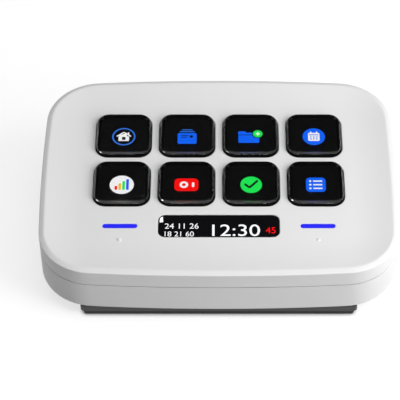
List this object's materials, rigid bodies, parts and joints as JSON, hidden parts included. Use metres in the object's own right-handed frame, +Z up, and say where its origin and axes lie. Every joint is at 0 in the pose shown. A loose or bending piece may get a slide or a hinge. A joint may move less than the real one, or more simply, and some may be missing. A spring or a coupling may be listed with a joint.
{
  "type": "macro keypad",
  "caption": "Compact white desk keypad with a dished face, glossy screen keys, an information display, lit bars and touch points, leaning on a dark wedge base.",
  "frame": {"origin": "on the desk, under the middle of the rubber pad's underside", "axes": "+Z up, +X to the user's right, -Y towards the user; the face leans back 4.2 degrees"},
  "size_m": [0.107, 0.079, 0.0265],
  "materials": {
    "cover_white": "fine satin moulded texture, white",
    "housing_white": "fine satin moulded texture, white",
    "base_black": "fine matt moulded texture, near black",
    "pad_rubber": "matt rubber, near black",
    "ballast_steel": "zinc-plated sheet, ground",
    "clear_plastic": "clear polished moulding",
    "screen_glass": "dark polished screen face",
    "inner_black": "matt black moulding",
    "silicone": "translucent grey silicone, matt",
    "flex_film": "amber film with copper tracks",
    "circuit_board": "green solder resist over tracks",
    "chip_black": "moulded package, matt",
    "socket_steel": "bright plated shell",
    "info_glass": "polished dark window",
    "light_blue": "frosted light guide, lit blue",
    "copper": "bare copper alloy",
    "lamp_white": "small lamp body",
    "screw_steel": "plated steel"
  },
  "bodies": {
    "root": {"ballast_plate": "ballast_steel", "base_screws": "screw_steel", "base_wedge": "base_black", "board_components": "chip_black", "board_screws": "screw_steel", "controller_chip": "chip_black", "cover_screws": "screw_steel", "indicator_leds": "lamp_white", "info_display": "screen_glass", "info_holder": "inner_black", "info_window": "info_glass", "key_guide": "inner_black", "key_membrane": "silicone", "light_guide_left": "light_blue", "light_guide_right": "light_blue", "lower_housing": "housing_white", "main_board": "circuit_board", "rubber_pad": "pad_rubber", "screen_tails": "flex_film", "top_cover": "cover_white", "touch_contacts": "copper", "touch_electrode_left": "copper", "touch_electrode_right": "copper", "usb_socket": "socket_steel"},
    "key_1": {"key_lens_1": "clear_plastic", "key_screen_1": "screen_glass", "key_carrier_1": "inner_black"},
    "key_2": {"key_lens_2": "clear_plastic", "key_screen_2": "screen_glass", "key_carrier_2": "inner_black"},
    "key_3": {"key_lens_3": "clear_plastic", "key_screen_3": "screen_glass", "key_carrier_3": "inner_black"},
    "key_4": {"key_lens_4": "clear_plastic", "key_screen_4": "screen_glass", "key_carrier_4": "inner_black"},
    "key_5": {"key_lens_5": "clear_plastic", "key_screen_5": "screen_glass", "key_carrier_5": "inner_black"},
    "key_6": {"key_lens_6": "clear_plastic", "key_screen_6": "screen_glass", "key_carrier_6": "inner_black"},
    "key_7": {"key_lens_7": "clear_plastic", "key_screen_7": "screen_glass", "key_carrier_7": "inner_black"},
    "key_8": {"key_lens_8": "clear_plastic", "key_screen_8": "screen_glass", "key_carrier_8": "inner_black"}
  },
  "joints": [
    {"name": "key_1_press", "type": "slide", "parent": "root", "child": "key_1", "axis": [0, 0.0732, -0.9973], "range_m": [0, 0.0012], "stiffness_N_per_m": 500, "springref_m": -0.0004, "deforming": ["key_membrane", "screen_tails"]},
    {"name": "key_2_press", "type": "slide", "parent": "root", "child": "key_2", "axis": [0, 0.0732, -0.9973], "range_m": [0, 0.0012], "stiffness_N_per_m": 500, "springref_m": -0.0004, "deforming": ["key_membrane", "screen_tails"]},
    {"name": "key_3_press", "type": "slide", "parent": "root", "child": "key_3", "axis": [0, 0.0732, -0.9973], "range_m": [0, 0.0012], "stiffness_N_per_m": 500, "springref_m": -0.0004, "deforming": ["key_membrane", "screen_tails"]},
    {"name": "key_4_press", "type": "slide", "parent": "root", "child": "key_4", "axis": [0, 0.0732, -0.9973], "range_m": [0, 0.0012], "stiffness_N_per_m": 500, "springref_m": -0.0004, "deforming": ["key_membrane", "screen_tails"]},
    {"name": "key_5_press", "type": "slide", "parent": "root", "child": "key_5", "axis": [0, 0.0732, -0.9973], "range_m": [0, 0.0012], "stiffness_N_per_m": 500, "springref_m": -0.0004, "deforming": ["key_membrane", "screen_tails"]},
    {"name": "key_6_press", "type": "slide", "parent": "root", "child": "key_6", "axis": [0, 0.0732, -0.9973], "range_m": [0, 0.0012], "stiffness_N_per_m": 500, "springref_m": -0.0004, "deforming": ["key_membrane", "screen_tails"]},
    {"name": "key_7_press", "type": "slide", "parent": "root", "child": "key_7", "axis": [0, 0.0732, -0.9973], "range_m": [0, 0.0012], "stiffness_N_per_m": 500, "springref_m": -0.0004, "deforming": ["key_membrane", "screen_tails"]},
    {"name": "key_8_press", "type": "slide", "parent": "root", "child": "key_8", "axis": [0, 0.0732, -0.9973], "range_m": [0, 0.0012], "stiffness_N_per_m": 500, "springref_m": -0.0004, "deforming": ["key_membrane", "screen_tails"]}
  ]
}
